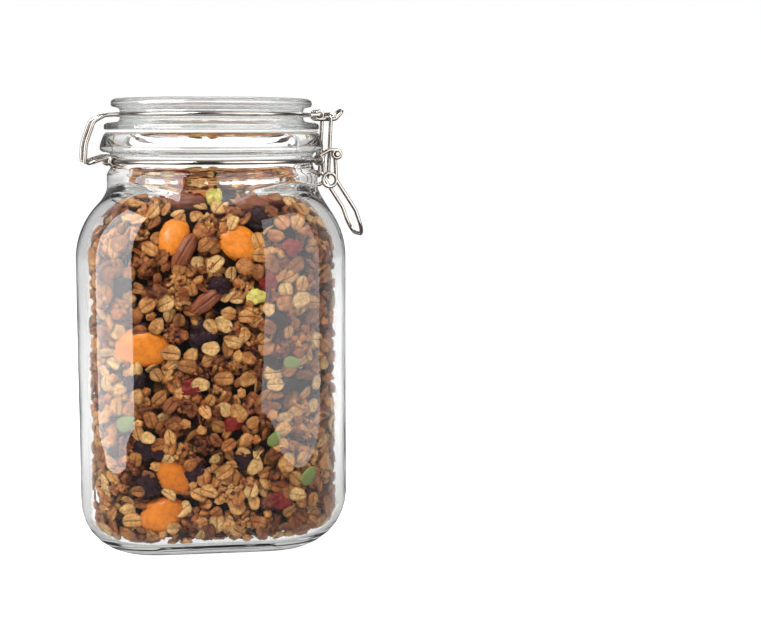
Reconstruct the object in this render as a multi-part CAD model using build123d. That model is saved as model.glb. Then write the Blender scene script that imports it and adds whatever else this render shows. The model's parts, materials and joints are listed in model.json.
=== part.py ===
from build123d import *
import math
import os

# A square glass storage jar with a wire bail clamp.  The jar stands on Z = 0 on its own
# axis, with its faces square to X and Y.  The wires sit on a round neck: they are drawn with
# the hinge at -X, the latch at +X and every pivot along Y, then turned together about Z.
# Millimetres throughout.

# Jar body
BODY_WIDTH = 121.0
CORNER_RADIUS = 36.0
GLASS_WALL = 4.0
FLOOR_THICKNESS = 5.5
BODY_HEIGHT = 166.0
SHOULDER_RADIUS = 35.0
HEEL_RADIUS = 22.0
INNER_HEEL_RADIUS = 14.0
PUSH_UP_RADIUS = 32.0
PUSH_UP_DEPTH = 1.6

# Neck and finish, the ground ring that the gasket seals on
MOUTH_RADIUS = 42.0
NECK_RADIUS = 48.8
GROOVE_RADIUS = 46.6
GROOVE_LOW = 171.0
GROOVE_HIGH = 177.5
FINISH_RADIUS = 51.7
FINISH_TOP_RADIUS = 49.4
FINISH_LOW = 179.5
RIM_HEIGHT = 187.0
NECK_FILLET = 4.5

# Gasket and lid
GASKET_THICKNESS = 1.3
GASKET_INNER_RADIUS = 40.8
GASKET_OUTER_RADIUS = 49.2
LID_BOTTOM = RIM_HEIGHT + GASKET_THICKNESS
LID_FLANGE_RADIUS = 49.6
LID_WAIST_RADIUS = 42.3
LID_RIM_RADIUS = 46.3
LID_TOP = 202.6
LID_PLUG_RADIUS = 38.6
LID_PLUG_DEPTH = 3.4
LID_HOLLOW_RADIUS = 33.0
LID_CROWN_THICKNESS = 5.6

# How far the wires stand turned on the neck, in degrees, from square to the body's faces
BAIL_TURN = 12.0

# Spring wire, and the eyes bent round another wire with a running clearance
WIRE_RADIUS = 0.9
PIN_CLEARANCE = 0.06
EYE_RADIUS = 2 * WIRE_RADIUS + PIN_CLEARANCE
BEND_RADIUS = 2.5

# Wire rings round the neck and round the lid's waist
NECK_RING_RADIUS = 49.5
NECK_RING_HEIGHT = 174.2
LID_RING_RADIUS = 45.2
LID_RING_HEIGHT = 195.2

# Hinge at -X
HINGE_X = -57.5
HINGE_Z = 173.5
HINGE_ARM_Y = 12.0
BRACKET_LEG_Y = 15.5

# Latch at +X: the lever pivots in two eyelets, and the bail link hangs in the lever's coils
PIVOT_X = 56.2
PIVOT_Z = 176.9
LEVER_LEG_Y = 11.0
EYELET_Y = 14.0
LINK_LEG_Y = 8.0
LINK_PIN_X = 53.6
LINK_PIN_Z = 165.9
COIL_RADIUS = 3.2
COIL_CLEARANCE = 0.1
LEVER_TIP = (70.6, 138.0)
LEVER_TIP_RADIUS = 7.5

# Catch on the lid: a nose on the lid ring carries the tongue that the link pulls down
NOSE_X = 50.6
NOSE_Y = 6.2
TONGUE_Y = 3.6
TONGUE_TIP = (62.2, 197.4)
LINK_BAR_X = 55.2
LINK_BAR_GAP = 0.45


def wire(points, radii):
    """A round wire that follows straight runs with a rounded bend at each inner point."""
    path = FilletPolyline(*points, radius=radii)
    start = Plane(origin=path @ 0, z_dir=path % 0)
    return sweep(start * Circle(WIRE_RADIUS), path=path)


def eye(centre, axis, radius=EYE_RADIUS):
    """A closed turn of wire about an axis."""
    return Plane(origin=centre, z_dir=axis) * Torus(radius, WIRE_RADIUS)


def both_sides(make):
    """The pieces that a function makes at +Y and at -Y."""
    return make(1) + make(-1)


def on_ring(radius, y, height, side):
    """The point of a wire ring at a distance y from the XZ plane, on the +X or -X side."""
    return Vector(side * math.sqrt(radius**2 - y**2), y, height)


def rounded_block(width, corner, low, high, top_fillet, bottom_fillet):
    """A square block with rounded uprights, a rounded top and a rounded foot."""
    block = Pos(0, 0, low) * extrude(RectangleRounded(width, width, corner), high - low)
    block = fillet(block.faces().sort_by(Axis.Z)[-1].edges(), top_fillet)
    return fillet(block.faces().sort_by(Axis.Z)[0].edges(), bottom_fillet)


def turned(points):
    """A solid turned about Z from a closed outline of (radius, height) points."""
    outline = Polyline(*[(r, 0, z) for r, z in points], close=True)
    return revolve(make_face(outline), Axis.Z)


def neck_blank():
    """The neck's outside: a straight neck, a groove for the ring, and the flared finish."""
    return turned(
        [
            (0, BODY_HEIGHT - SHOULDER_RADIUS),
            (NECK_RADIUS, BODY_HEIGHT - SHOULDER_RADIUS),
            (NECK_RADIUS, GROOVE_LOW - 2.6),
            (GROOVE_RADIUS, GROOVE_LOW),
            (GROOVE_RADIUS, GROOVE_HIGH),
            (FINISH_RADIUS - 0.8, FINISH_LOW - 1.2),
            (FINISH_RADIUS, FINISH_LOW),
            (FINISH_TOP_RADIUS, RIM_HEIGHT - 0.8),
            (FINISH_TOP_RADIUS - 0.8, RIM_HEIGHT),
            (0, RIM_HEIGHT),
        ]
    )


def jar_body():
    outer = rounded_block(
        BODY_WIDTH, CORNER_RADIUS, 0, BODY_HEIGHT, SHOULDER_RADIUS, HEEL_RADIUS
    )
    outer += neck_blank()
    shoulder_line = [
        edge
        for edge in outer.edges()
        if BODY_HEIGHT - SHOULDER_RADIUS < edge.center().Z < GROOVE_LOW - 5
        and abs(math.hypot((edge @ 0.5).X, (edge @ 0.5).Y) - NECK_RADIUS) < 0.01
    ]
    outer = fillet(shoulder_line, NECK_FILLET)

    inner = rounded_block(
        BODY_WIDTH - 2 * GLASS_WALL,
        CORNER_RADIUS - GLASS_WALL,
        FLOOR_THICKNESS,
        BODY_HEIGHT - GLASS_WALL,
        SHOULDER_RADIUS - GLASS_WALL,
        INNER_HEEL_RADIUS,
    )
    bore_low = BODY_HEIGHT - SHOULDER_RADIUS
    inner += Pos(0, 0, bore_low) * Cylinder(
        MOUTH_RADIUS, RIM_HEIGHT + 5 - bore_low, align=(Align.CENTER, Align.CENTER, Align.MIN)
    )

    sphere_radius = (PUSH_UP_RADIUS**2 + PUSH_UP_DEPTH**2) / (2 * PUSH_UP_DEPTH)
    push_up = Pos(0, 0, PUSH_UP_DEPTH - sphere_radius) * Sphere(sphere_radius)
    return outer - inner - push_up


def gasket():
    return turned(
        [
            (GASKET_INNER_RADIUS, RIM_HEIGHT),
            (GASKET_OUTER_RADIUS - 0.3, RIM_HEIGHT),
            (GASKET_OUTER_RADIUS, RIM_HEIGHT + 0.3),
            (GASKET_OUTER_RADIUS, LID_BOTTOM - 0.3),
            (GASKET_OUTER_RADIUS - 0.3, LID_BOTTOM),
            (GASKET_INNER_RADIUS, LID_BOTTOM),
        ]
    )


def lid_glass():
    """A pressed lid: flange, waist for the wire, top rim, and a shallow plug below."""
    return turned(
        [
            (0, LID_TOP - LID_CROWN_THICKNESS + 0.6),
            (LID_HOLLOW_RADIUS - 4, LID_TOP - LID_CROWN_THICKNESS),
            (LID_HOLLOW_RADIUS, LID_TOP - LID_CROWN_THICKNESS - 3),
            (LID_PLUG_RADIUS - 3.6, LID_BOTTOM - LID_PLUG_DEPTH),
            (LID_PLUG_RADIUS - 0.6, LID_BOTTOM - LID_PLUG_DEPTH),
            (LID_PLUG_RADIUS, LID_BOTTOM),
            (LID_FLANGE_RADIUS - 0.5, LID_BOTTOM),
            (LID_FLANGE_RADIUS, LID_BOTTOM + 0.5),
            (LID_FLANGE_RADIUS, LID_BOTTOM + 2.2),
            (LID_FLANGE_RADIUS - 1.6, LID_BOTTOM + 3.2),
            (LID_WAIST_RADIUS + 1, LID_BOTTOM + 3.8),
            (LID_WAIST_RADIUS, LID_BOTTOM + 4.8),
            (LID_WAIST_RADIUS, LID_TOP - 5),
            (LID_RIM_RADIUS - 0.6, LID_TOP - 3.8),
            (LID_RIM_RADIUS, LID_TOP - 3),
            (LID_RIM_RADIUS, LID_TOP - 1.8),
            (LID_RIM_RADIUS - 1.5, LID_TOP - 0.4),
            (LID_RIM_RADIUS - 4, LID_TOP),
            (LID_RIM_RADIUS - 6.5, LID_TOP - 0.7),
            (0, LID_TOP - 0.2),
        ]
    )


def neck_ring():
    return Pos(0, 0, NECK_RING_HEIGHT) * Torus(NECK_RING_RADIUS, WIRE_RADIUS)


def ring_eye(point):
    """An eye bent round the neck ring, square to the ring there."""
    tangent = Vector(-point.Y, point.X, 0)
    return eye(point, tangent)


def hinge_bracket():
    """A U of wire: a crossbar along the hinge axis, and two legs bent round the neck ring."""
    hold = on_ring(NECK_RING_RADIUS, BRACKET_LEG_Y, NECK_RING_HEIGHT, -1)
    top = NECK_RING_HEIGHT + EYE_RADIUS
    half = [
        (hold.X, BRACKET_LEG_Y, top),
        (hold.X - 2.6, BRACKET_LEG_Y, top),
        (HINGE_X, BRACKET_LEG_Y, HINGE_Z),
    ]
    other = [(x, -y, z) for x, y, z in reversed(half)]
    bracket = wire(half + other, [2.0, BEND_RADIUS, BEND_RADIUS, 2.0])
    return bracket + both_sides(
        lambda side: ring_eye(on_ring(NECK_RING_RADIUS, side * BRACKET_LEG_Y, NECK_RING_HEIGHT, -1))
    )


def latch_eyelets():
    """Two short wires, each with one eye round the neck ring and one for the lever's pin."""

    def eyelet(side):
        y = side * EYELET_Y
        hold = on_ring(NECK_RING_RADIUS, y, NECK_RING_HEIGHT, 1)
        run = [
            (hold.X, y, NECK_RING_HEIGHT + EYE_RADIUS),
            (hold.X + 5.0, y, PIVOT_Z + EYE_RADIUS),
            (PIVOT_X, y, PIVOT_Z + EYE_RADIUS),
        ]
        return wire(run, [3.0]) + ring_eye(hold) + eye((PIVOT_X, y, PIVOT_Z), (0, 1, 0))

    return Compound([eyelet(1), eyelet(-1)])


def lid_ring():
    """The wire round the lid, with two hinge arms at -X and a nose for the tongue at +X."""
    ring = Pos(0, 0, LID_RING_HEIGHT) * Torus(LID_RING_RADIUS, WIRE_RADIUS)

    def arm(side):
        y = side * HINGE_ARM_Y
        join = on_ring(LID_RING_RADIUS, y, LID_RING_HEIGHT, -1)
        run = [
            (HINGE_X - EYE_RADIUS, y, HINGE_Z),
            (HINGE_X - EYE_RADIUS + 0.7, y, HINGE_Z + 8.5),
            (HINGE_X + 2.4, y, LID_RING_HEIGHT - 3.2),
            (HINGE_X + 7.5, y, LID_RING_HEIGHT - 0.4),
            (join.X, y, LID_RING_HEIGHT),
        ]
        return wire(run, [14.0, 4.0, 6.0]) + eye((HINGE_X, y, HINGE_Z), (0, 1, 0))

    root = on_ring(LID_RING_RADIUS, NOSE_Y, LID_RING_HEIGHT, 1)
    nose = wire(
        [
            (root.X, NOSE_Y, LID_RING_HEIGHT),
            (NOSE_X, NOSE_Y, LID_RING_HEIGHT),
            (NOSE_X, -NOSE_Y, LID_RING_HEIGHT),
            (root.X, -NOSE_Y, LID_RING_HEIGHT),
        ],
        1.6,
    )
    return ring + both_sides(arm) + nose


def catch_tongue():
    """A hairpin of wire, held by two eyes on the nose, with its closed end turned up."""
    low = LID_RING_HEIGHT - EYE_RADIUS
    tip_x, tip_z = TONGUE_TIP
    half = [
        (NOSE_X, TONGUE_Y, low),
        (tip_x - 3.6, TONGUE_Y, low),
        (tip_x, TONGUE_Y, tip_z),
    ]
    other = [(x, -y, z) for x, y, z in reversed(half)]
    hairpin = wire(half + other, [2.4, 2.2, 2.2, 2.4])
    return hairpin + both_sides(
        lambda side: eye((NOSE_X, side * TONGUE_Y, LID_RING_HEIGHT), (0, 1, 0))
    )


LINK_BAR_Z = LID_RING_HEIGHT - EYE_RADIUS + 2 * WIRE_RADIUS + LINK_BAR_GAP
LINK_LENGTH = math.hypot(LINK_BAR_X - LINK_PIN_X, LINK_BAR_Z - LINK_PIN_Z)
COIL_DROP = COIL_RADIUS - 2 * WIRE_RADIUS - COIL_CLEARANCE
COIL_X = LINK_PIN_X - COIL_DROP * (LINK_BAR_X - LINK_PIN_X) / LINK_LENGTH
COIL_Z = LINK_PIN_Z - COIL_DROP * (LINK_BAR_Z - LINK_PIN_Z) / LINK_LENGTH


def lever():
    """The finger loop: pins in the eyelets, short arms, a coil on each side, and the loop."""
    pin_end = EYELET_Y + WIRE_RADIUS + 1.2

    def side_piece(side):
        y = side * LEVER_LEG_Y
        arm = wire(
            [
                (PIVOT_X, side * pin_end, PIVOT_Z),
                (PIVOT_X, y, PIVOT_Z),
                (COIL_X + COIL_RADIUS, y, COIL_Z),
            ],
            1.8,
        )
        return arm + eye((COIL_X, y, COIL_Z), (0, 1, 0), COIL_RADIUS)

    tip_x, tip_z = LEVER_TIP
    half = [
        (COIL_X + COIL_RADIUS, LEVER_LEG_Y, COIL_Z),
        (COIL_X + COIL_RADIUS + 9.5, LEVER_LEG_Y, COIL_Z - 14.5),
        (tip_x, LEVER_LEG_Y, tip_z),
    ]
    other = [(x, -y, z) for x, y, z in reversed(half)]
    loop = wire(half + other, [12.0, LEVER_TIP_RADIUS, LEVER_TIP_RADIUS, 12.0])
    return loop + both_sides(side_piece)


def bail_link():
    """An inverted U whose feet turn outwards into the lever's coils."""
    foot_y = LEVER_LEG_Y + WIRE_RADIUS + 0.9
    half = [
        (LINK_PIN_X, foot_y, LINK_PIN_Z),
        (LINK_PIN_X, LINK_LEG_Y, LINK_PIN_Z),
        (LINK_BAR_X, LINK_LEG_Y, LINK_BAR_Z),
    ]
    other = [(x, -y, z) for x, y, z in reversed(half)]
    return wire(half + other, [1.6, BEND_RADIUS, BEND_RADIUS, 1.6])


GLASS_PARTS = [jar_body, lid_glass, gasket]
WIRE_PARTS = [
    neck_ring,
    hinge_bracket,
    latch_eyelets,
    lid_ring,
    catch_tongue,
    lever,
    bail_link,
]

os.makedirs("parts", exist_ok=True)
for make in GLASS_PARTS:
    export_step(make(), f"parts/{make.__name__}.step")
for make in WIRE_PARTS:
    export_step(Rot(0, 0, BAIL_TURN) * make(), f"parts/{make.__name__}.step")
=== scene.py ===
"""A square bail clamp jar full of granola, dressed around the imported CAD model."""

import json
import math

import bmesh
import bpy
import numpy as np
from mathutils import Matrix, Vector, noise


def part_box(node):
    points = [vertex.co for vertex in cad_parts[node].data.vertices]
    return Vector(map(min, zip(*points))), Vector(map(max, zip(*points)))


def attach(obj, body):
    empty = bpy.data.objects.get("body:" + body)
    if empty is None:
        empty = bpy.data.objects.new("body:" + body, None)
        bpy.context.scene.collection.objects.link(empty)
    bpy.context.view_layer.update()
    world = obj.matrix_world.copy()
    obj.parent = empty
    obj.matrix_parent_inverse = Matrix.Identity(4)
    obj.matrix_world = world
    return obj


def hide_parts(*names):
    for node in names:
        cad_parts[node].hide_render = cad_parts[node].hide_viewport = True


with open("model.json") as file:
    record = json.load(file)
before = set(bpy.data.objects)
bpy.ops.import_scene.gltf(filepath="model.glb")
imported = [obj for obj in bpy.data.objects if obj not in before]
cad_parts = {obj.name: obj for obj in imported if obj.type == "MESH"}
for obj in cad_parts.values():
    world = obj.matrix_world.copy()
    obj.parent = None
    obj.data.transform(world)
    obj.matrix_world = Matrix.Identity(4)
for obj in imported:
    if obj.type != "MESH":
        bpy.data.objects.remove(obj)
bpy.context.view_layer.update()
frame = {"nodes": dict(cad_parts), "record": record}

MM = 0.001
rng = np.random.default_rng(7)

# The jar's own sizes in millimetres. The frame gives the outer ones.
_, jar_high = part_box("jar_body")
_, lid_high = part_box("lid_glass")
seal_low, seal_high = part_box("gasket")
HALF = jar_high[0] / MM
RIM = jar_high[2] / MM
CORNER = 36.0
WALL = 4.0
FLOOR = 5.5
BLOCK_TOP = 166.0
SHOULDER = 35.0
HEEL = 22.0
INNER_HEEL = 14.0
NECK = 48.8
MOUTH = 42.0
PUSH_UP_RADIUS = 32.0
PUSH_UP_DEPTH = 1.6
SEGMENTS = 192

# The food: how far it stays off the glass, and how high it is filled
GLASS_GAP = 0.35
FILL_TOP = 161.3

# How many loose pieces and clusters there are, how many places are tried for them, and the
# room that each keeps round it: in millimetres for a loose one, and in radii for a cluster
LOOSE_COUNT, LOOSE_TRIES, LOOSE_ROOM = 1500, 26000, 1.95
CLUSTER_COUNT, CLUSTER_TRIES, CLUSTER_ROOM, CLUSTER_SHELL = 330, 12000, 0.57, 0.85
DEEP_COUNT = 1100
CORE_DEPTH = 9.0
# Loose pieces thin out above this height, and clusters below it
MIXED_HEIGHT = 0.45 * RIM
GOLDEN_ANGLE = 2.39996

# The soft panels that the glass mirrors stand on end, in metres
PANEL_MIDDLE = 0.95
PANEL_HEIGHT = 2.3


# ---------------------------------------------------------------- small helpers


def smooth_max(a, b, reach):
    """The larger of two radii, blended where they are within reach of each other."""
    overlap = np.maximum(reach - np.abs(a - b), 0) / reach
    return np.maximum(a, b) + overlap**2 * reach / 4


def square_radius(angle, half, corner):
    """Distance from the axis to a square with round corners and slightly crowned faces.

    The section lies midway between the true rounded square and a superellipse that meets it
    on its faces and diagonals.
    """
    c = np.maximum(np.abs(np.cos(angle)), 1e-9)
    s = np.maximum(np.abs(np.sin(angle)), 1e-9)
    straight = half - corner
    across = half / np.maximum(c, s)
    beyond = across * np.minimum(c, s) - straight
    along = straight * (c + s)
    arc = along + np.sqrt(np.maximum(along**2 - 2 * straight**2 + corner**2, 0))
    rounded_square = np.where(beyond > 0, arc, across)
    diagonal = straight * math.sqrt(2) + corner
    power = -1 / np.log2(np.minimum(diagonal / (half * math.sqrt(2)), 0.965))
    crowned = half * (c**power + s**power) ** (-1 / power)
    return (rounded_square + crowned) / 2


def inset_of(rise, radius):
    """How far a quarter-round of that radius has come in after that rise."""
    return radius - np.sqrt(np.maximum(radius**2 - np.clip(rise, 0, radius) ** 2, 0))


def inner_radius(angle, z):
    """Distance from the axis to the glass's inner wall."""
    shoulder = SHOULDER - WALL
    inset = inset_of(FLOOR + INNER_HEEL - z, INNER_HEEL)
    inset = inset + inset_of(z - (BLOCK_TOP - SHOULDER), shoulder)
    inset = inset + 3 * np.maximum(z - (BLOCK_TOP - WALL), 0)
    half = np.maximum(HALF - WALL - inset, 1)
    corner = np.clip(CORNER - WALL - inset, 0.5, half)
    block = square_radius(angle, half, corner)
    bore = np.where(z > BLOCK_TOP - SHOULDER, MOUTH, 0.0)
    return smooth_max(block, bore, 8.0)


def add_mesh(name, verts, faces, material, body, attributes=None):
    """A smooth-shaded mesh piece, given in millimetres, that rides on a body."""
    mesh = bpy.data.meshes.new(name)
    mesh.from_pydata((np.asarray(verts) * MM).tolist(), [], faces)
    mesh.polygons.foreach_set("use_smooth", [True] * len(mesh.polygons))
    for key, values in (attributes or {}).items():
        values = np.asarray(values, dtype=np.float32)
        kind = "FLOAT" if values.ndim == 1 else "FLOAT_VECTOR"
        field = "value" if values.ndim == 1 else "vector"
        mesh.attributes.new(key, kind, "POINT").data.foreach_set(field, values.ravel())
    mesh.update()
    piece = bpy.data.objects.new(name, mesh)
    bpy.context.scene.collection.objects.link(piece)
    mesh.materials.append(material)
    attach(piece, body)
    return piece


def loft(rings):
    """Vertices and faces of a closed skin through rings of equal count, capped at both ends."""
    count = len(rings[0])
    verts = np.concatenate(rings)
    faces = []
    for row in range(len(rings) - 1):
        base = row * count
        for i in range(count):
            j = (i + 1) % count
            faces.append((base + i, base + j, base + count + j, base + count + i))
    centres = np.array([rings[0].mean(axis=0), rings[-1].mean(axis=0)])
    first, last = len(verts), len(verts) + 1
    top = (len(rings) - 1) * count
    for i in range(count):
        j = (i + 1) % count
        faces.append((first, j, i))
        faces.append((last, top + i, top + j))
    return np.concatenate([verts, centres]), faces


# ---------------------------------------------------------------- materials


class Shader:
    """A material's node tree, with short calls for the nodes used below."""

    def __init__(self, name):
        self.material = bpy.data.materials.new(name)
        self.material.use_nodes = True
        self.tree = self.material.node_tree
        self.bsdf = self.tree.nodes["Principled BSDF"]
        self.output = self.tree.nodes["Material Output"]

    def node(self, kind, **inputs):
        made = self.tree.nodes.new("ShaderNode" + kind)
        for key, value in inputs.items():
            self.put(made, key.replace("_", " "), value)
        return made

    def put(self, made, key, value):
        socket = made.inputs[key]
        if isinstance(value, bpy.types.NodeSocket):
            self.tree.links.new(value, socket)
        else:
            socket.default_value = value

    def set(self, **inputs):
        for key, value in inputs.items():
            self.put(self.bsdf, key.replace("_", " "), value)

    def place(self):
        return self.node("TexCoord").outputs["Object"]

    def attribute(self, name):
        made = self.node("Attribute")
        made.attribute_name = name
        return made.outputs["Fac"]

    def noise(self, scale, detail=3.0, roughness=0.5):
        made = self.node("TexNoise", Scale=scale, Detail=detail, Roughness=roughness)
        self.put(made, "Vector", self.place())
        return made.outputs["Fac"]

    def ramp(self, factor, stops):
        made = self.node("ValToRGB")
        elements = made.color_ramp.elements
        while len(elements) < len(stops):
            elements.new(1.0)
        for element, (at, colour) in zip(elements, stops):
            element.position = at
            element.color = (*colour, 1)
        self.put(made, "Fac", factor)
        return made.outputs["Color"]

    def mix(self, factor, a, b, blend="MIX"):
        made = self.node("Mix")
        made.data_type = "RGBA"
        made.blend_type = blend
        for index, value in ((0, factor), (6, a), (7, b)):
            if isinstance(value, bpy.types.NodeSocket):
                self.tree.links.new(value, made.inputs[index])
            else:
                made.inputs[index].default_value = value
        return made.outputs[2]

    def maths(self, operation, a, b=0.0, c=0.0):
        made = self.node("Math")
        made.operation = operation
        for index, value in enumerate((a, b, c)):
            self.put(made, index, value)
        return made.outputs[0]

    def span(self, value, low, high, to_low=0.0, to_high=1.0):
        made = self.node("MapRange")
        for index, part in enumerate((value, low, high, to_low, to_high)):
            self.put(made, index, part)
        return made.outputs[0]

    def bump(self, height, strength, distance):
        made = self.node("Bump", Height=height, Strength=strength, Distance=distance)
        return made.outputs["Normal"]


def glass_material(name, wave):
    """Clear pressed glass: a slow wave in the surface, and lamps shine through it."""
    tint = (0.985, 0.995, 0.99)
    shader = Shader(name)
    ripple = shader.noise(wave, detail=1.5)
    smear = shader.noise(wave * 2.5, detail=2.0)
    shader.set(
        Base_Color=(*tint, 1),
        Roughness=shader.span(smear, 0.35, 0.75, 0.0, 0.018),
        IOR=1.5,
        Transmission_Weight=1.0,
        Normal=shader.bump(ripple, 0.18, 0.0012),
    )
    clear = shader.node("BsdfTransparent", Color=(*tint, 1))
    choose = shader.node("MixShader")
    path = shader.node("LightPath")
    links = shader.tree.links
    links.new(path.outputs["Is Shadow Ray"], choose.inputs["Fac"])
    links.new(shader.bsdf.outputs[0], choose.inputs[1])
    links.new(clear.outputs[0], choose.inputs[2])
    links.new(choose.outputs[0], shader.output.inputs["Surface"])
    return shader.material


def silicone_material():
    shader = Shader("clear_silicone")
    cloud = shader.noise(90.0)
    shader.set(
        Base_Color=shader.ramp(cloud, [(0.3, (0.80, 0.79, 0.76)), (0.7, (0.9, 0.9, 0.88))]),
        Roughness=shader.span(cloud, 0.3, 0.7, 0.32, 0.45),
        Transmission_Weight=0.55,
        Subsurface_Weight=0.3,
        Subsurface_Scale=0.002,
        IOR=1.41,
        Normal=shader.bump(shader.noise(900.0), 0.1, 0.0001),
    )
    return shader.material


def steel_material():
    """Drawn stainless wire: a grey with faint die lines and a few duller patches."""
    shader = Shader("steel_wire")
    patch = shader.noise(160.0, detail=4.0)
    fine = shader.noise(2400.0, detail=2.0)
    shader.set(
        Base_Color=shader.ramp(patch, [(0.3, (0.3, 0.27, 0.24)), (0.65, (0.46, 0.43, 0.4))]),
        Metallic=1.0,
        Roughness=shader.span(patch, 0.35, 0.7, 0.14, 0.28),
        Normal=shader.bump(fine, 0.12, 0.00006),
    )
    return shader.material


def oat_material(name, dark, middle, light, gloss, shine):
    """Toasted oats: paler and darker pieces, painted shade in creases and folds, browner rims, a
    mealy grain, syrup.
    """
    shader = Shader(name)
    tone = shader.attribute("tone")
    rise = shader.attribute("rise")
    grain = shader.noise(850.0, detail=5.0, roughness=0.65)
    toast = shader.noise(260.0, detail=3.0)
    both = shader.maths("MULTIPLY_ADD", toast, 0.8, shader.maths("MULTIPLY", tone, 0.7))
    colour = shader.ramp(both, [(0.36, dark), (0.72, middle), (1.0, light)])
    # Painted shade: a low rise takes the colour to a dark tone in flake creases, between cluster
    # knobs and on the core; on flake rims it is browner toasting.
    shade_and_toast_brown = tuple(0.16 * part for part in dark) + (1,)
    fold = shader.span(rise, 0.0, 0.75, 0.88, 0.0)
    colour = shader.mix(fold, colour, shade_and_toast_brown)
    speck = shader.span(grain, 0.36, 0.62, 0.62, 1.15)
    colour = shader.mix(1.0, colour, speck, "MULTIPLY")
    shader.set(
        Base_Color=colour,
        Roughness=shader.span(toast, 0.3, 0.7, gloss, gloss + 0.22),
        Specular_IOR_Level=shine,
        Normal=shader.bump(grain, 0.85, 0.0011),
    )
    return shader.material


def fruit_material(name, dark, light, roughness, wrinkle, scatter=0.0, coat=0.0, shine=0.4):
    """Dried fruit or a nut: a mottled skin with wrinkles, and painted light from the tone."""
    shader = Shader(name)
    tone = shader.attribute("tone")
    mottle = shader.noise(110.0, detail=4.0)
    fold = shader.noise(520.0, detail=4.0, roughness=0.6)
    # The tone holds each piece's random tone plus painted light: paler on the side facing the
    # glass.
    both = shader.maths("MULTIPLY_ADD", mottle, 0.6, shader.maths("MULTIPLY", tone, 0.5))
    colour = shader.ramp(both, [(0.3, dark), (0.78, light)])
    colour = shader.mix(1.0, colour, shader.span(fold, 0.3, 0.6, 0.75, 1.05), "MULTIPLY")
    shader.set(
        Base_Color=colour,
        Roughness=shader.span(fold, 0.3, 0.7, roughness, roughness + 0.2),
        Subsurface_Weight=scatter,
        Subsurface_Radius=(0.008, 0.003, 0.001),
        Subsurface_Scale=0.6,
        Coat_Weight=coat,
        Coat_Roughness=0.2,
        Specular_IOR_Level=shine,
        Normal=shader.bump(fold, wrinkle, 0.0008),
    )
    return shader.material


def backdrop_material():
    """Pale to the eye, dim as a light, and grey in front where it is mirrored in the glass."""
    shader = Shader("pale_backdrop")
    cloud = shader.noise(2.0)
    pale = shader.ramp(cloud, [(0.3, (0.93, 0.93, 0.93)), (0.7, (0.95, 0.95, 0.95))])
    split = shader.node("SeparateXYZ", Vector=shader.place())
    front = shader.span(split.outputs["Y"], 0.12, -0.22, 0.38, 0.97)
    path = shader.node("LightPath")
    mirrored = shader.span(path.outputs["Glossy Depth"], 0.0, 1.0)
    as_light = shader.span(path.outputs["Diffuse Depth"], 0.0, 1.0, 0.0, 0.88)
    grey = shader.maths("MAXIMUM", shader.maths("MULTIPLY", front, mirrored), as_light)
    shader.set(
        Base_Color=shader.mix(grey, pale, (0.03, 0.03, 0.03, 1)),
        Roughness=0.8,
        Emission_Color=(1, 1, 1, 1),
        Emission_Strength=shader.span(grey, 0.0, 1.0, 0.9, 0.0),
    )
    return shader.material


# ---------------------------------------------------------------- glass


def ring_at(angles, radius, z):
    radius = np.broadcast_to(radius, angles.shape)
    z = np.broadcast_to(z, angles.shape)
    return np.stack([radius * np.cos(angles), radius * np.sin(angles), z], axis=1)


def waviness(points, size, amount):
    """Moves points in and out a little, as pressed glass is never quite true."""
    moved = points.copy()
    for row, (x, y, z) in enumerate(points):
        push = noise.noise(Vector((x, y, z)) / size) * amount
        reach = math.hypot(x, y) or 1.0
        moved[row, 0] += push * x / reach
        moved[row, 1] += push * y / reach
    return moved


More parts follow.
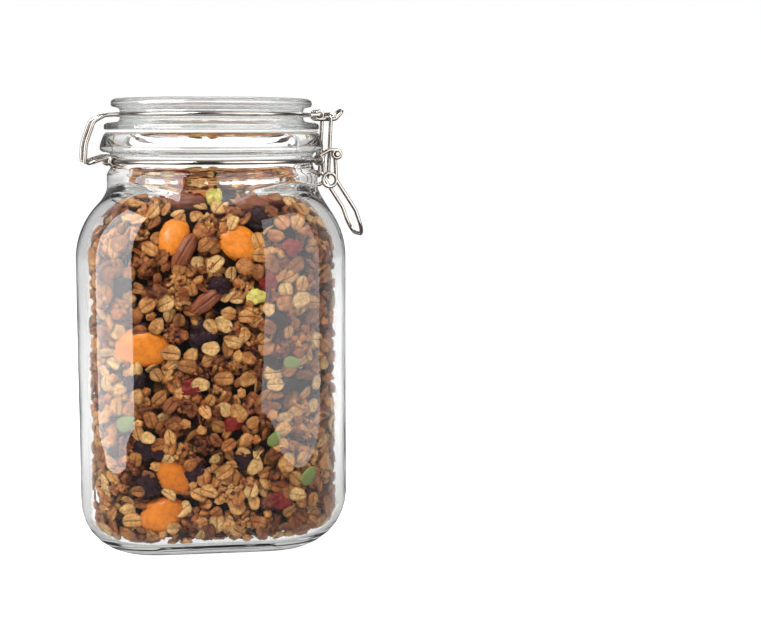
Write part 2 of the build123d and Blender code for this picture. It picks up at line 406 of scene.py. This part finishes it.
def jar_rings():
    """The jar's skin as rings, from the base's centre up the outside and down the inside."""
    turn = np.linspace(0, 2 * math.pi, SEGMENTS, endpoint=False)
    rings = []
    for share in (0.02, 0.3, 0.6, 0.85, 0.97, 1.0):
        height = PUSH_UP_DEPTH * (1 - share**2)
        rings.append(ring_at(turn, PUSH_UP_RADIUS * share, height))
    for angle in np.radians([0, 4, 12, 22, 33, 45, 57, 69, 80, 90]):
        inset = HEEL * (1 - math.sin(angle))
        radius = square_radius(turn, HALF - inset, CORNER - inset)
        rings.append(ring_at(turn, radius, HEEL * (1 - math.cos(angle))))
    straight = square_radius(turn, HALF, CORNER)
    for z in np.linspace(HEEL, BLOCK_TOP - SHOULDER, 16)[1:]:
        rings.append(ring_at(turn, straight, z))
    for angle in np.radians(np.arange(4, 84, 4)):
        inset = SHOULDER * (1 - math.cos(angle))
        block = square_radius(turn, HALF - inset, max(CORNER - inset, 1.0))
        z = BLOCK_TOP - SHOULDER + SHOULDER * math.sin(angle)
        rings.append(ring_at(turn, smooth_max(block, NECK, 7.0), z))
    outer = [
        (NECK, BLOCK_TOP + 0.9),
        (48.6, 168.2),
        (47.9, 169.5),
        (47.0, 170.8),
        (46.65, 172.3),
        (46.6, 174.3),
        (46.65, 176.3),
        (47.3, 177.5),
        (48.8, 178.0),
        (50.4, 178.2),
        (51.3, 178.8),
        (51.65, 179.8),
        (51.5, 181.2),
        (50.9, 183.2),
        (50.2, 185.0),
        (49.6, 186.2),
        (49.0, 186.8),
        (48.2, RIM),
        (45.4, RIM),
        (43.4, RIM - 0.1),
        (42.5, RIM - 0.5),
        (MOUTH, RIM - 1.4),
    ]
    for radius, z in outer:
        rings.append(ring_at(turn, radius, z))
    for z in np.linspace(RIM - 4, BLOCK_TOP - WALL + 1, 9):
        rings.append(ring_at(turn, inner_radius(turn, z), z))
    shoulder = SHOULDER - WALL
    for angle in np.radians(np.arange(82, 0, -4)):
        z = BLOCK_TOP - SHOULDER + shoulder * math.sin(angle)
        rings.append(ring_at(turn, inner_radius(turn, z), z))
    for z in np.linspace(BLOCK_TOP - SHOULDER, FLOOR + INNER_HEEL, 16):
        rings.append(ring_at(turn, inner_radius(turn, z), z))
    for angle in np.radians([80, 68, 56, 44, 32, 20, 10, 3]):
        z = FLOOR + INNER_HEEL * (1 - math.cos(angle))
        rings.append(ring_at(turn, inner_radius(turn, z), z))
    foot = square_radius(turn, HALF - WALL - INNER_HEEL, CORNER - WALL - INNER_HEEL)
    for share in (1.0, 0.75, 0.5, 0.25, 0.02):
        rings.append(ring_at(turn, foot * share, FLOOR + 1.2 * (1 - share**2)))
    return rings


def make_jar(material):
    rings = jar_rings()
    wavy = [ring if ring[0, 2] > 168 else waviness(ring, 34.0, 0.22) for ring in rings]
    verts, faces = loft(wavy)
    piece = add_mesh("jar_glass", verts, faces, material, "jar")
    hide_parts("jar_body")
    return piece


def rounded(points, radius, steps=5):
    """An outline with each inner corner replaced by a short curve."""
    result = [points[0]]
    for before, corner, after in zip(points, points[1:], points[2:]):
        before, corner, after = (np.array(p, float) for p in (before, corner, after))
        reach_a = min(radius, 0.45 * np.linalg.norm(before - corner))
        reach_b = min(radius, 0.45 * np.linalg.norm(after - corner))
        start = corner + (before - corner) / np.linalg.norm(before - corner) * reach_a
        end = corner + (after - corner) / np.linalg.norm(after - corner) * reach_b
        for t in np.linspace(0, 1, steps):
            result.append(tuple((1 - t) ** 2 * start + 2 * t * (1 - t) * corner + t**2 * end))
    result.append(points[-1])
    return result


def make_lid(material):
    low = lid_high[2] / MM - 14.3
    top = lid_high[2] / MM
    outline = [
        (0.5, top - 5.2),
        (29.0, top - 5.6),
        (33.0, top - 8.6),
        (35.0, low - 3.4),
        (38.0, low - 3.4),
        (38.6, low),
        (49.6, low),
        (49.6, low + 2.4),
        (48.0, low + 3.2),
        (43.3, low + 3.6),
        (42.3, low + 4.8),
        (42.3, top - 5.0),
        (43.4, top - 4.2),
        (46.3, top - 3.6),
        (46.3, top - 1.2),
        (44.6, top - 0.1),
        (41.0, top - 0.05),
        (39.0, top - 0.9),
        (20.0, top - 0.5),
        (0.5, top - 0.3),
    ]
    turn = np.linspace(0, 2 * math.pi, SEGMENTS, endpoint=False)
    verts, faces = loft([ring_at(turn, radius, z) for radius, z in rounded(outline, 0.9)])
    piece = add_mesh("lid_glass_clear", verts, faces, material, "lid")
    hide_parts("lid_glass")
    return piece


def make_seal(material):
    low, high = seal_low[2] / MM, seal_high[2] / MM
    outer = seal_high[0] / MM
    outline = [
        (40.8, low + 0.4),
        (41.4, low + 0.02),
        (48.4, low + 0.02),
        (outer, low + 0.3),
        (outer, high - 0.3),
        (48.4, high - 0.02),
        (41.4, high - 0.02),
        (40.8, high - 0.4),
    ]
    turn = np.linspace(0, 2 * math.pi, SEGMENTS, endpoint=False)
    outline = rounded(outline + outline[:2], 0.35, 4)[1:-1]
    rings = [ring_at(turn, radius, z) for radius, z in outline]
    count = len(rings)
    verts = np.concatenate(rings)
    faces = []
    for row in range(count):
        here, there = row * SEGMENTS, (row + 1) % count * SEGMENTS
        for i in range(SEGMENTS):
            j = (i + 1) % SEGMENTS
            faces.append((here + i, here + j, there + j, there + i))
    piece = add_mesh("seal_ring", verts, faces, material, "lid")
    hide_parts("gasket")
    return piece


# ---------------------------------------------------------------- food


def wall_frame(angle, z, depth):
    """A point at a depth inside the inner wall, and the wall's outward normal there."""

    def point(a, h):
        r = float(inner_radius(np.array(a), np.array(h)))
        return np.array([r * math.cos(a), r * math.sin(a), h])

    here = point(angle, z)
    along = point(angle + 0.02, z) - here
    up = point(angle, z + 0.5) - here
    normal = np.cross(along, up)
    normal /= np.linalg.norm(normal)
    return here - normal * depth, normal


def wall_axes(normal):
    """Level and upward directions square to a normal."""
    level = np.cross([0.0, 0.0, 1.0], normal)
    if np.linalg.norm(level) < 1e-3:
        level = np.array([1.0, 0.0, 0.0])
    level /= np.linalg.norm(level)
    return level, np.cross(normal, level)


def lying_on(normal, spin):
    """A rotation that takes +Z to a normal, and +X to level, then turned up by a spin."""
    level, rise = wall_axes(normal)
    x = math.cos(spin) * level + math.sin(spin) * rise
    return np.stack([x, np.cross(normal, x), normal], axis=1)


def turned_to(normal, tilt):
    """A rotation that takes +Z near to a normal, off it by a tilt, at a random spin."""
    level, rise = wall_axes(normal)
    lean = rng.uniform(0, 2 * math.pi)
    side = math.cos(lean) * level + math.sin(lean) * rise
    up = math.cos(tilt) * normal + math.sin(tilt) * side
    return lying_on(up, rng.uniform(0, 2 * math.pi))


def flake_template(seed):
    """An oat flake 1 unit from its middle to its end: a thin, creased, warped oval."""
    local = np.random.default_rng(seed)
    along = np.linspace(-1, 1, 7)
    over = np.array([-1, -0.64, -0.17, 0, 0.17, 0.64, 1])
    gx, gy = np.meshgrid(along, over, indexing="ij")
    x = gx * np.sqrt(1 - gy**2 / 2)
    y = gy * np.sqrt(1 - gx**2 / 2)
    edge = np.clip(1 - (x**2 + y**2), 0, 1)
    wide = local.uniform(0.66, 0.86)
    bend = local.uniform(-0.2, 0.2, 3)
    around = np.arctan2(y, x)
    ragged = 1 + 0.05 * np.sin(3 * around + 6 * local.random())
    ragged += 0.04 * np.sin(5 * around + 6 * local.random())
    bow = bend[0] * x**2 + bend[1] * y**2 + bend[2] * x * y
    thick = 0.05 + 0.1 * edge**0.6
    in_crease = (np.abs(gy) < 0.1) & (np.abs(gx) < 0.9)
    depth = local.uniform(0.07, 0.13)
    layers = []
    for side in (1, -1):
        height = bow + side * (thick - depth * in_crease)
        layers.append(np.stack([x * ragged, y * ragged * wide, height], axis=-1).reshape(-1, 3))
    # The rise darkens the oat colour: painted shade in the crease, more on some flakes than
    # others, and a browner toasted rim.
    crease_shade = local.uniform(0.0, 0.6)
    rise = np.where(in_crease, crease_shade, np.where(edge < 0.05, 0.35, 1.0))
    rise = np.tile(rise.ravel(), 2)
    rows, columns = gx.shape
    index = np.arange(gx.size).reshape(rows, columns)
    border = (np.abs(gx) == 1) | (np.abs(gy) == 1)
    under = index + gx.size
    faces = []
    for i in range(rows - 1):
        for j in range(columns - 1):
            faces.append((index[i, j], index[i + 1, j], index[i + 1, j + 1], index[i, j + 1]))
            faces.append((under[i, j], under[i, j + 1], under[i + 1, j + 1], under[i + 1, j]))
    rim = [index[i, 0] for i in range(rows)] + [index[-1, j] for j in range(1, columns)]
    rim += [index[i, -1] for i in range(rows - 2, -1, -1)]
    rim += [index[0, j] for j in range(columns - 2, 0, -1)]
    for a, b in zip(rim, rim[1:] + rim[:1]):
        faces.append((a, a + gx.size, b + gx.size, b))
    return np.concatenate(layers), np.array(faces), rise


def ball(level, base=None):
    """A ball's points and faces, cut off flat and closed below a height where one is given."""
    work = bmesh.new()
    bmesh.ops.create_icosphere(work, subdivisions=level, radius=1.0)
    if base is not None:
        everything = work.verts[:] + work.edges[:] + work.faces[:]
        bmesh.ops.bisect_plane(
            work, geom=everything, plane_co=(0, 0, base), plane_no=(0, 0, 1), clear_inner=True
        )
        rim = [edge for edge in work.edges if edge.is_boundary]
        bmesh.ops.edgeloop_fill(work, edges=rim)
        bmesh.ops.triangulate(work, faces=work.faces[:])
    work.verts.index_update()
    verts = np.array([v.co[:] for v in work.verts])
    faces = np.array([[v.index for v in f.verts] for f in work.faces])
    work.free()
    return verts, faces


def folded(points, size, amount, seed):
    """The depth of folds at the points: deepest along the lines where a noise crosses zero."""
    offset = Vector((seed * 3.7, seed * 1.3, seed * 2.1))
    value = np.array([noise.noise(Vector(p) / size + offset) for p in points.tolist()])
    return amount * np.exp(-((value / 0.1) ** 2))


def cluster_template(seed, level):
    """A baked cluster 1 unit in radius: oats and crisps fused into knobs with deep folds."""
    local = np.random.default_rng(seed + 50)
    points, faces = ball(level, base=-0.35)
    count = 46
    reach = np.zeros(len(points))
    rise = np.zeros(len(points))
    shade = np.zeros(len(points))
    for k in range(count):
        z = 1 - 1.5 * (k + 0.5) / count
        angle = GOLDEN_ANGLE * k + local.normal(0, 0.25)
        flat = math.sqrt(1 - z * z)
        centre = np.array([flat * math.cos(angle), flat * math.sin(angle), z])
        first, second = wall_axes(centre)
        spin = local.uniform(0, math.pi)
        u = points @ (math.cos(spin) * first + math.sin(spin) * second)
        v = points @ (math.cos(spin) * second - math.sin(spin) * first)
        long, short = local.uniform(0.3, 0.46), local.uniform(0.2, 0.3)
        out = np.clip(1 - (u / long) ** 2 - (v / short) ** 2, 0, 1)
        out = np.where(points @ centre > 0.5, out, 0)
        knob = local.uniform(0.7, 1.15) * out**0.55
        if local.random() < 0.55:
            knob = knob * (1 - 0.28 * np.exp(-((v / (0.2 * short)) ** 2)))
        above = knob > reach
        reach = np.where(above, knob, reach)
        rise = np.where(above, out, rise)
        shade = np.where(above, local.uniform(-0.3, 0.3), shade)
    lumps = rough(points, 0.8, 0.22, seed)
    crinkle = folded(points, 0.16, 0.05, seed) + folded(points, 0.32, 0.05, seed + 3)
    made = lumps * (0.72 + 0.3 * reach - crinkle)[:, None]
    # A low rise darkens the oat colour: painted shade between the knobs and along the folds.
    rise = np.clip(1.25 * rise - 9 * crinkle, 0, 1)
    return made, faces, rise, shade


def rough(points, size, amount, seed):
    """Pushes the points of a ball in or out by a noise."""
    offset = Vector((seed * 3.7, seed * 1.3, seed * 2.1))
    push = [noise.noise(Vector(p) / size + offset) * amount for p in points.tolist()]
    return points * (1 + np.array(push))[:, None]


def apricot(points, seed):
    """A plump dried apricot with a soft dent and a few shallow wrinkles towards its rim."""
    made = rough(points, 0.9, 0.12, seed)
    rim = 1 - points[:, 2] ** 2
    made = made * (1 - rim * folded(points, 0.45, 0.05, seed))[:, None]
    made[:, 2] -= 0.18 * np.exp(-((points[:, 0] ** 2 + points[:, 1] ** 2) / 0.3))
    return made * [1.0, 0.72, 0.46]


def raisin(points, seed):
    """A dried berry, drawn in along its wrinkles."""
    made = rough(points, 0.7, 0.45, seed)
    wrinkles = folded(points, 0.4, 0.2, seed) + folded(points, 0.2, 0.08, seed + 1)
    made = made * (1 - wrinkles)[:, None]
    return made * [1.0, 0.76, 0.66]


def pecan(points, seed):
    """Half a pecan: long lobes either side of a middle groove."""
    made = rough(points, 0.5, 0.1, seed)
    along, across = points[:, 0], points[:, 1]
    lobes = 0.13 * np.abs(np.sin(across * 7.5)) ** 0.7
    lobes -= 0.22 * np.exp(-((across / 0.1) ** 2))
    notches = 0.06 * np.sin(along * 9 + 2 * np.sign(across))
    made[:, 2] += (lobes + notches) * np.sqrt(np.clip(1 - along**2, 0, 1))
    return made * [1.0, 0.46, 0.42]


def seed_shape(points, seed):
    """A flat pumpkin seed with one end drawn to a point."""
    made = points.copy()
    made[:, 1] *= 1 - 0.24 * points[:, 0]
    return rough(made, 0.8, 0.05, seed) * [1.0, 0.68, 0.26]


def nugget(points, seed):
    """A puffed crisp."""
    made = rough(points, 0.6, 0.4, seed)
    return made * (1 - folded(points, 0.5, 0.16, seed))[:, None] * [1.0, 0.8, 0.75]


class Pile:
    """Many copies of templates gathered in one mesh, kept inside the glass."""

    def __init__(self, name, material):
        self.name = name
        self.material = material
        self.verts = []
        self.faces = []
        self.rise = []
        self.tone = []
        self.count = 0

    def add(self, template, centre, turn, size, tone):
        points, faces = template[:2]
        rise = template[2] if len(template) > 2 else np.ones(len(points))
        # The fourth entry is added to the tone: a random tone per knob for clusters, painted light
        # for fruit.
        shade = template[3] if len(template) > 3 else np.zeros(len(points))
        self.verts.append((points * size) @ turn.T + centre)
        self.faces.append(faces + self.count)
        self.rise.append(rise)
        self.tone.append(np.clip(tone + shade, 0, 1))
        self.count += len(points)

    def build(self):
        verts = inside_glass(np.concatenate(self.verts))
        faces = [tuple(face) for block in self.faces for face in block.tolist()]
        attributes = {"rise": np.concatenate(self.rise), "tone": np.concatenate(self.tone)}
        return add_mesh(self.name, verts, faces, self.material, "jar", attributes)


def inside_glass(points):
    """Holds points off the glass, as food lies flat where it is pressed on the wall."""
    points = points.copy()
    points[:, 2] = np.maximum(points[:, 2], FLOOR + 1.2 + GLASS_GAP)
    angle = np.arctan2(points[:, 1], points[:, 0])
    reach = np.hypot(points[:, 0], points[:, 1])
    limit = inner_radius(angle, points[:, 2]) - GLASS_GAP
    scale = np.minimum(1.0, limit / np.maximum(reach, 1e-6))
    points[:, 0] *= scale
    points[:, 1] *= scale
    return points


UP = np.array([0.0, 0.0, 1.0])


class Space:
    """Where pieces already lie, so that the next one finds room."""

    def __init__(self):
        self.points = np.empty((0, 3))
        self.sizes = np.empty(0)
        self.shell = np.empty(0)

    def free(self, point, size, shell=False):
        """True if a ball of that size clears every piece, or every piece's whole shell."""
        if not len(self.points):
            return True
        apart = np.linalg.norm(self.points - point, axis=1)
        return bool(np.all(apart > (self.shell if shell else self.sizes) + size))

    def take(self, point, size, shell=None):
        """Marks a ball as full. The shell is the piece's whole reach, where that is more."""
        self.points = np.vstack([self.points, point])
        self.sizes = np.append(self.sizes, size)
        self.shell = np.append(self.shell, size if shell is None else shell)


def random_spot(depth):
    """A random place at a depth behind the wall, above the floor or on top of the fill."""
    angle = rng.uniform(0, 2 * math.pi)
    surface = rng.random()
    if surface < 0.1:
        reach = (MOUTH - 3) * math.sqrt(rng.random())
        crown = 2.0 * (1 - (reach / MOUTH) ** 2)
        height = FILL_TOP + crown - depth
        return np.array([reach * math.cos(angle), reach * math.sin(angle), height]), UP
    if surface < 0.18:
        reach = 46 * math.sqrt(rng.uniform(0.5, 1))
        height = FLOOR + 1 + depth
        return np.array([reach * math.cos(angle), reach * math.sin(angle), height]), -UP
    low, high = (FLOOR + 1, FLOOR + INNER_HEEL) if surface < 0.26 else (FLOOR + 6, FILL_TOP)
    return wall_frame(angle, rng.uniform(low, high), depth)


def front_spot(across, z, depth):
    """A place on the front wall, at a distance across and a height."""
    angle = math.atan2(-(HALF - WALL), across)
    return wall_frame(angle, z, depth)


def make_core(material):
    """The bulk of the food behind the pieces that show: one lumpy mass, painted dark as shade."""
    turn = np.linspace(0, 2 * math.pi, 96, endpoint=False)
    rings = []
    for z in np.linspace(FLOOR + CORE_DEPTH, FILL_TOP - CORE_DEPTH, 60):
        radius = inner_radius(turn, np.full_like(turn, z)) - CORE_DEPTH
        ring = ring_at(turn, radius, z)
        rings.append(waviness(ring, 5.0, 3.5))
    verts, faces = loft(rings)
    # The low rise paints extra shade on the core.
    attributes = {"rise": np.full(len(verts), 0.3), "tone": np.zeros(len(verts))}
    return add_mesh("granola_core", verts, faces, material, "jar", attributes)


# Whole fruit, nuts and seeds: shape, ball level, half length, thickness over half length, how
# many lie out of sight of the front, and then each one that shows there, as its distance
# across, its height, its turn from level in degrees and its size over the usual one.
FRUIT = {
    "apricots": (
        apricot, 5, 10.0, 0.5, 8,
        [(-16, 144, 65, 0.88), (13, 141, -32, 1.0), (-31, 95, 2, 1.18), (-17, 39, -55, 0.95),
         (-22, 22, 25, 1.05)],
    ),
    "pecans": (
        pecan, 4, 8.6, 0.5, 8,
        [(-11, 137, 58, 1.0), (-2, 115, 38, 0.95), (-15, 159, 5, 1.1), (24, 158, -8, 1.0)],
    ),
    "dark_berries": (
        raisin, 4, 6.0, 0.72, 16,
        [(-2, 101, 10, 1.25), (-26, 51, -15, 1.2), (-27, 36, 30, 1.25), (-8, 40, 60, 1.1),
         (5, 122, 0, 1.0), (25, 152, -30, 1.1), (29, 107, 0, 1.2), (14, 46, 20, 1.1),
         (-34, 80, 40, 0.9), (33, 78, 0, 1.0), (-38, 122, 15, 0.9), (9, 160, 0, 0.9)],
    ),
    "red_cherries": (
        raisin, 4, 4.8, 0.72, 8,
        [(-8, 78, 0, 1.0), (31, 27, 0, 1.1), (9, 62, 20, 0.9), (38, 138, 10, 1.0),
         (26, 124, 50, 1.1)],
    ),
    "pumpkin_seeds": (
        seed_shape, 4, 4.8, 0.3, 12,
        [(-38, 63, 30, 1.0), (46, 37, 50, 0.95), (27, 55, 60, 0.8), (36, 88, -10, 0.8)],
    ),
    "golden_raisins": (raisin, 4, 5.2, 0.72, 4, [(4, 160, 85, 1.0), (20, 117, 0, 0.8)]),
}


def make_fruit(name, material, space):
    shape, level, size, thick, hidden, places = FRUIT[name]
    pile = Pile(name, material)
    balls = ball(level)
    flat = np.ones(len(balls[0]))
    # Painted light: each piece is paler on the side facing the glass and darker on the side turned
    # in.
    painted_light_to_glass = 0.6 * balls[0][:, 2]
    shapes = [(shape(balls[0], seed), balls[1], flat, painted_light_to_glass) for seed in range(5)]
    for made, (across, z, spin, share) in enumerate(places):
        point, normal = front_spot(across, z, size * share * thick)
        turn = lying_on(normal, math.radians(spin))
        pile.add(shapes[made % 5], point, turn, size * share, rng.random())
        space.take(point - normal, size * share * 0.72)
    made = 0
    while made < hidden:
        point, normal = random_spot(size * thick)
        if point[1] > -30 and space.free(point, size * 0.75):
            space.take(point, size * 0.75)
            turn = turned_to(normal, abs(rng.normal(0, 0.15)))
            pile.add(shapes[made % 5], point, turn, size * rng.uniform(0.85, 1.15), rng.random())
            made += 1
    return pile.build()


def make_clusters(material, space):
    """Baked clusters, thickest in the upper half, which may press into each other a little."""
    fine = [cluster_template(seed, 5) for seed in range(7)]
    coarse = [cluster_template(seed, 4) for seed in range(7)]
    piles = [Pile(f"granola_clusters_{n}", material) for n in (1, 2, 3, 4)]
    made = 0
    for _ in range(CLUSTER_TRIES):
        if made >= CLUSTER_COUNT:
            break
        size = rng.uniform(5.8, 9.4)
        point, normal = random_spot(size * 1.08)
        share = 1.0 if point[2] > MIXED_HEIGHT else 0.35
        if rng.random() > share or not space.free(point, size * CLUSTER_ROOM):
            continue
        space.take(point, size * CLUSTER_ROOM, size * CLUSTER_SHELL)
        turn = turned_to(normal, abs(rng.normal(0, 0.25)))
        stretch = np.diag([1, rng.uniform(0.78, 1.0), 1])
        cluster = (fine if point[1] < -20 else coarse)[made % 7]
        piles[made % 4].add(cluster, point, turn @ stretch, size, rng.uniform(0.1, 0.8))
        made += 1
    return [pile.build() for pile in piles]


def make_loose(plain, baked, deep, space):
    """Loose flakes and crisps on the glass, then darker ones behind them, painted dark as shade.
    """
    flakes = [flake_template(seed) for seed in range(10)]
    crisp = ball(3)
    crisps = [(nugget(crisp[0], seed), crisp[1]) for seed in range(5)]
    oats = [Pile(f"oat_flakes_{n}", plain) for n in (1, 2)]
    toasted = Pile("toasted_flakes", baked)
    puffs = Pile("rice_crisps", baked)
    loose = Space()
    made = 0
    for _ in range(LOOSE_TRIES):
        if made >= LOOSE_COUNT:
            break
        size = rng.uniform(3.2, 4.6)
        chance = rng.random()
        tilt = min(abs(rng.normal(0, 0.55)), 1.4)
        point, normal = random_spot(0.85 * size * math.sin(tilt) + rng.uniform(0.7, 2.6))
        if chance > (0.6 if point[2] > MIXED_HEIGHT else 1.0):
            continue
        if not (loose.free(point, LOOSE_ROOM) and space.free(point, 0.4, shell=True)):
            continue
        loose.take(point, LOOSE_ROOM)
        turn = turned_to(normal, tilt)
        kind = rng.random()
        if kind < 0.6:
            oats[made % 2].add(flakes[made % 10], point, turn, size, rng.random())
        elif kind < 0.85:
            toasted.add(flakes[made % 10], point, turn, size, rng.random())
        else:
            puffs.add(crisps[made % 5], point, turn, 0.62 * size, rng.uniform(0.2, 0.9))
        made += 1
    # Painted shade: these flakes are nearly black, for the shade deep in the jar.
    behind = Pile("oat_flakes_deep_painted_shade", deep)
    for k in range(DEEP_COUNT):
        point, normal = random_spot(rng.uniform(4.5, 9.0))
        turn = turned_to(normal, abs(rng.normal(0, 0.9)))
        behind.add(flakes[k % 10], point, turn, rng.uniform(3.6, 5.0), rng.random())
    return [pile.build() for pile in (*oats, toasted, puffs, behind)]


def make_food():
    space = Space()
    skins = {
        "apricots": fruit_material(
            "apricot_skin", (0.32, 0.035, 0.001), (0.88, 0.25, 0.008), 0.3, 0.12, 0.12, 0.15
        ),
        "pecans": fruit_material("pecan_skin", (0.07, 0.016, 0.006), (0.3, 0.08, 0.03), 0.3, 0.5),
        "dark_berries": fruit_material(
            "berry_skin", (0.004, 0.0015, 0.002), (0.03, 0.008, 0.012), 0.25, 0.8, 0.0, 0.0, 0.3
        ),
        "red_cherries": fruit_material(
            "cherry_skin", (0.05, 0.003, 0.003), (0.26, 0.014, 0.01), 0.25, 0.6, 0.1, 0.0, 0.35
        ),
        "pumpkin_seeds": fruit_material(
            "pumpkin_seed_skin", (0.05, 0.08, 0.015), (0.22, 0.27, 0.07), 0.4, 0.2
        ),
        "golden_raisins": fruit_material(
            "golden_raisin_skin", (0.4, 0.3, 0.03), (0.78, 0.66, 0.16), 0.3, 0.4, 0.3, 0.2
        ),
    }
    pieces = [make_fruit(name, skin, space) for name, skin in skins.items()]
    baked = oat_material(
        "baked_oats", (0.15, 0.026, 0.003), (0.52, 0.15, 0.026), (0.86, 0.4, 0.11), 0.26, 0.5
    )
    plain = oat_material(
        "plain_oats", (0.26, 0.064, 0.01), (0.64, 0.25, 0.055), (0.92, 0.54, 0.2), 0.38, 0.4
    )
    # Painted shade: nearly black oats with little shine, for the flakes and core deep in the jar.
    deep = oat_material(
        "deep_oats_painted_shade", (0.03, 0.008, 0.002), (0.1, 0.03, 0.007), (0.24, 0.09, 0.022), 0.6, 0.1
    )
    pieces += make_clusters(baked, space)
    pieces += make_loose(plain, baked, deep, space)
    return [*pieces, make_core(deep)]


# ---------------------------------------------------------------- wires


def dress_wires(material):
    """The wires keep their CAD meshes and get the steel."""
    record = frame["record"]
    wires = [part["node"] for part in record["subparts"] if part["material_slot"] == "steel_wire"]
    for node in wires:
        frame["nodes"][node].data.materials.clear()
        frame["nodes"][node].data.materials.append(material)
    return [frame["nodes"][node] for node in wires]


# ---------------------------------------------------------------- studio


def make_backdrop(material):
    """A pale round floor that curves up into a wall a long way off on every side."""
    turn = np.linspace(0, 2 * math.pi, 64, endpoint=False)
    profile = [(0.01, 0.0), (3.0, 0.0)]
    for angle in np.radians(np.arange(10, 91, 10)):
        profile.append((3.0 + 1.2 * math.sin(angle), 1.2 * (1 - math.cos(angle))))
    profile.append((4.2, 5.0))
    verts = np.concatenate([ring_at(turn, reach, z - 0.0002) for reach, z in profile])
    faces = []
    for row in range(len(profile) - 1):
        for i in range(len(turn)):
            j = (i + 1) % len(turn)
            here, above = row * len(turn), (row + 1) * len(turn)
            faces.append((here + i, here + j, above + j, above + i))
    faces.append(tuple(range(len(turn))))
    mesh = bpy.data.meshes.new("backdrop")
    mesh.from_pydata(verts.tolist(), [], faces)
    mesh.polygons.foreach_set("use_smooth", [True] * len(faces))
    mesh.materials.append(material)
    piece = bpy.data.objects.new("backdrop", mesh)
    bpy.context.scene.collection.objects.link(piece)
    piece.visible_glossy = False
    piece.visible_diffuse = False
    piece.visible_shadow = False


def add_lamp(name, place, aim, width, height, power, receivers):
    """An area lamp that lights only the given pieces."""
    lamp = bpy.data.lights.new(name, "AREA")
    lamp.shape = "RECTANGLE"
    lamp.size = width
    lamp.size_y = height
    lamp.energy = power
    holder = bpy.data.objects.new(name, lamp)
    holder.location = place
    holder.rotation_euler = (Vector(aim) - Vector(place)).to_track_quat("-Z", "Y").to_euler()
    holder.visible_camera = False
    holder.visible_transmission = False
    holder.light_linking.receiver_collection = receivers
    bpy.context.scene.collection.objects.link(holder)


def add_panel(name, near, far, distance, power, receivers):
    """A tall soft panel between two bearings from the jar, in degrees right of the front."""
    ends = [
        Vector((math.sin(a), -math.cos(a), 0)) * distance
        for a in (math.radians(near), math.radians(far))
    ]
    place = (ends[0] + ends[1]) / 2 + Vector((0, 0, PANEL_MIDDLE))
    width = (ends[1] - ends[0]).length
    add_lamp(name, place, (0, 0, PANEL_MIDDLE), width, PANEL_HEIGHT, power, receivers)


def make_world():
    """Soft light all round, dimmer from the front, where the room is."""
    world = bpy.data.worlds.new("studio")
    bpy.context.scene.world = world
    world.use_nodes = True
    nodes, links = world.node_tree.nodes, world.node_tree.links
    split = nodes.new("ShaderNodeSeparateXYZ")
    links.new(nodes.new("ShaderNodeTexCoord").outputs["Generated"], split.inputs[0])
    shade = nodes.new("ShaderNodeMapRange")
    links.new(split.outputs["Y"], shade.inputs["Value"])
    for key, value in (("From Min", -0.9), ("From Max", -0.1), ("To Min", 0.03), ("To Max", 0.16)):
        shade.inputs[key].default_value = value
    links.new(shade.outputs[0], nodes["Background"].inputs["Strength"])
    nodes["Background"].inputs["Color"].default_value = (1, 1, 1, 1)


def make_camera():
    """At the lid's height, a little to the right of square-on, with the jar left of centre."""
    distance, height = 0.56, 0.188
    around, pan, tilt = math.radians(2), math.radians(8.05), math.radians(5.2)
    data = bpy.data.cameras.new("camera")
    data.sensor_width = 36.0
    data.lens = 55.9
    data.shift_y = -0.1
    data.clip_start = 0.02
    camera = bpy.data.objects.new("camera", data)
    camera.location = (distance * math.sin(around), -distance * math.cos(around), height)
    camera.rotation_euler = (math.pi / 2 - tilt, 0, around - pan)
    bpy.context.scene.collection.objects.link(camera)
    bpy.context.scene.camera = camera


def gathered(name, pieces):
    """A collection for a lamp's receivers. It is in no scene, so it moves nothing."""
    collection = bpy.data.collections.new(name)
    for piece in pieces:
        collection.objects.link(piece)
    return collection


def make_studio(glass, food, wires):
    """The panels light only the glass, weaker ones the wires, and small lamps all but glass."""
    make_backdrop(backdrop_material())
    make_world()
    make_camera()
    shiny = gathered("shiny", glass)
    steel = gathered("steel", wires)
    solid = gathered("solid", [*food, *wires, bpy.data.objects["backdrop"]])
    add_panel("left_panel", -30, -86, 1.05, 50.0, shiny)
    add_panel("right_panel", 5.8, 76, 1.15, 31.0, shiny)
    add_panel("left_wire_light", -30, -86, 1.05, 26.0, steel)
    add_panel("right_wire_light", 12, 76, 1.15, 24.0, steel)
    add_lamp("key", (-0.42, -0.62, 1.0), (0, 0, 0.1), 0.25, 0.25, 7.6, solid)
    add_lamp("fill", (0.8, -0.35, 0.5), (0, 0, 0.1), 0.6, 0.6, 1.6, solid)
    add_lamp("top", (0.0, 0.15, 0.9), (0, 0, 0), 0.5, 0.5, 0.9, solid)
    add_lamp("back", (0.45, 0.75, 0.8), (0, 0, 0.1), 0.4, 0.4, 5.0, solid)
    scene = bpy.context.scene
    scene.view_settings.view_transform = "Standard"
    # Light turns many times inside thick glass before it comes out
    scene.cycles.max_bounces = 24
    scene.cycles.glossy_bounces = 16
    scene.cycles.transmission_bounces = 24
    scene.cycles.transparent_max_bounces = 16


glass = [
    make_jar(glass_material("jar_glass_clear", 26.0)),
    make_lid(glass_material("lid_glass_material", 40.0)),
    make_seal(silicone_material()),
]
make_studio(glass, make_food(), dress_wires(steel_material()))
